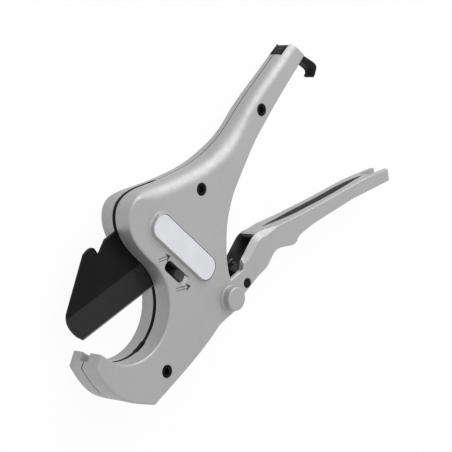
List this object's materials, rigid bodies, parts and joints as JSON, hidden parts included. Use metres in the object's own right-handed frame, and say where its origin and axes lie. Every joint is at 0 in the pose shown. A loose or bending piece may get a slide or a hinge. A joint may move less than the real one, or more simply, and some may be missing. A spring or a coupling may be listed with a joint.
{
  "type": "pvc pipe cutter",
  "caption": "Ratchet cutter for plastic pipe: cast body with a hooked jaw, wide blade with a ground edge, fixed grip, sprung lower handle, release slider and end latch.",
  "frame": {"origin": "where the moving handle's pivot axis meets the flat outer face of the rear shell", "axes": "+X along the fixed grip towards its end, +Y towards the side the blade opens on, +Z out of the front face with the label plate"},
  "size_m": [0.2609, 0.1885, 0.0306],
  "materials": {
    "cast_paint": "satin silver paint on a die casting",
    "black_steel": "black oxide with a thin coat, semi-gloss",
    "plain_steel": "turned, oiled",
    "spring_steel": "drawn wire",
    "black_plastic": "moulded, fine grain",
    "plate_paint": "pale plate, bare"
  },
  "bodies": {
    "body": {"front_shell": "cast_paint", "rear_shell": "cast_paint", "screw_grip": "black_steel", "screw_middle": "black_steel", "screw_jaw": "black_steel", "jaw_spacer": "black_steel", "blade_pivot_pin": "plain_steel", "blade_washer_front": "plain_steel", "blade_washer_rear": "plain_steel", "handle_pivot_pin": "plain_steel", "pivot_sleeve": "plain_steel", "holding_pawl_pin": "plain_steel", "latch_pin": "plain_steel", "dowel_jaw": "plain_steel", "dowel_grip": "plain_steel", "holding_pawl_spring": "spring_steel", "latch_spring": "spring_steel", "label_plate": "plate_paint"},
    "blade": {"blade": "black_steel"},
    "moving_handle": {"moving_handle": "cast_paint", "handle_return_spring": "spring_steel", "drive_pawl_pin": "black_steel", "spring_post": "plain_steel", "drive_pawl_spring": "spring_steel"},
    "drive_pawl": {"drive_pawl": "black_steel"},
    "holding_pawl": {"holding_pawl": "black_steel"},
    "release_slider": {"release_slider": "black_plastic"},
    "lock_latch": {"lock_latch": "black_plastic"}
  },
  "joints": [
    {"name": "blade_hinge", "type": "hinge", "parent": "body", "child": "blade", "pos_m": [0.0025, 0.053, 0.012], "axis": [0, 0, 1], "range_deg": [-45, 30]},
    {"name": "handle_hinge", "type": "hinge", "parent": "body", "child": "moving_handle", "pos_m": [0, 0, 0.0128], "axis": [0, 0, 1], "range_deg": [0, 37], "stiffness_Nm_per_rad": 0.4, "springref_deg": -57.3},
    {"name": "drive_pawl_hinge", "type": "hinge", "parent": "moving_handle", "child": "drive_pawl", "pos_m": [0.0163, -0.0087, 0.0128], "axis": [0, 0, 1], "range_deg": [-43.7, 0]},
    {"name": "release_slide", "type": "slide", "parent": "body", "child": "release_slider", "axis": [0, 1, 0], "range_m": [0, 0.0025], "stiffness_N_per_m": 400, "springref_m": -0.002},
    {"name": "holding_pawl_hinge", "type": "hinge", "parent": "body", "child": "holding_pawl", "pos_m": [-0.0134, 0.0221, 0.012], "axis": [0, 0, 1], "range_deg": [-12, 0]},
    {"name": "latch_hinge", "type": "hinge", "parent": "body", "child": "lock_latch", "pos_m": [0.1555, 0.0372, 0.0128], "axis": [0, 0, 1], "range_deg": [-12, 0]}
  ],
  "couplings": [
    {"joint": "drive_pawl_hinge", "follows": "handle_hinge", "ratio": -1.18},
    {"joint": "holding_pawl_hinge", "follows": "release_slide", "rad_per_m": -83.3}
  ]
}
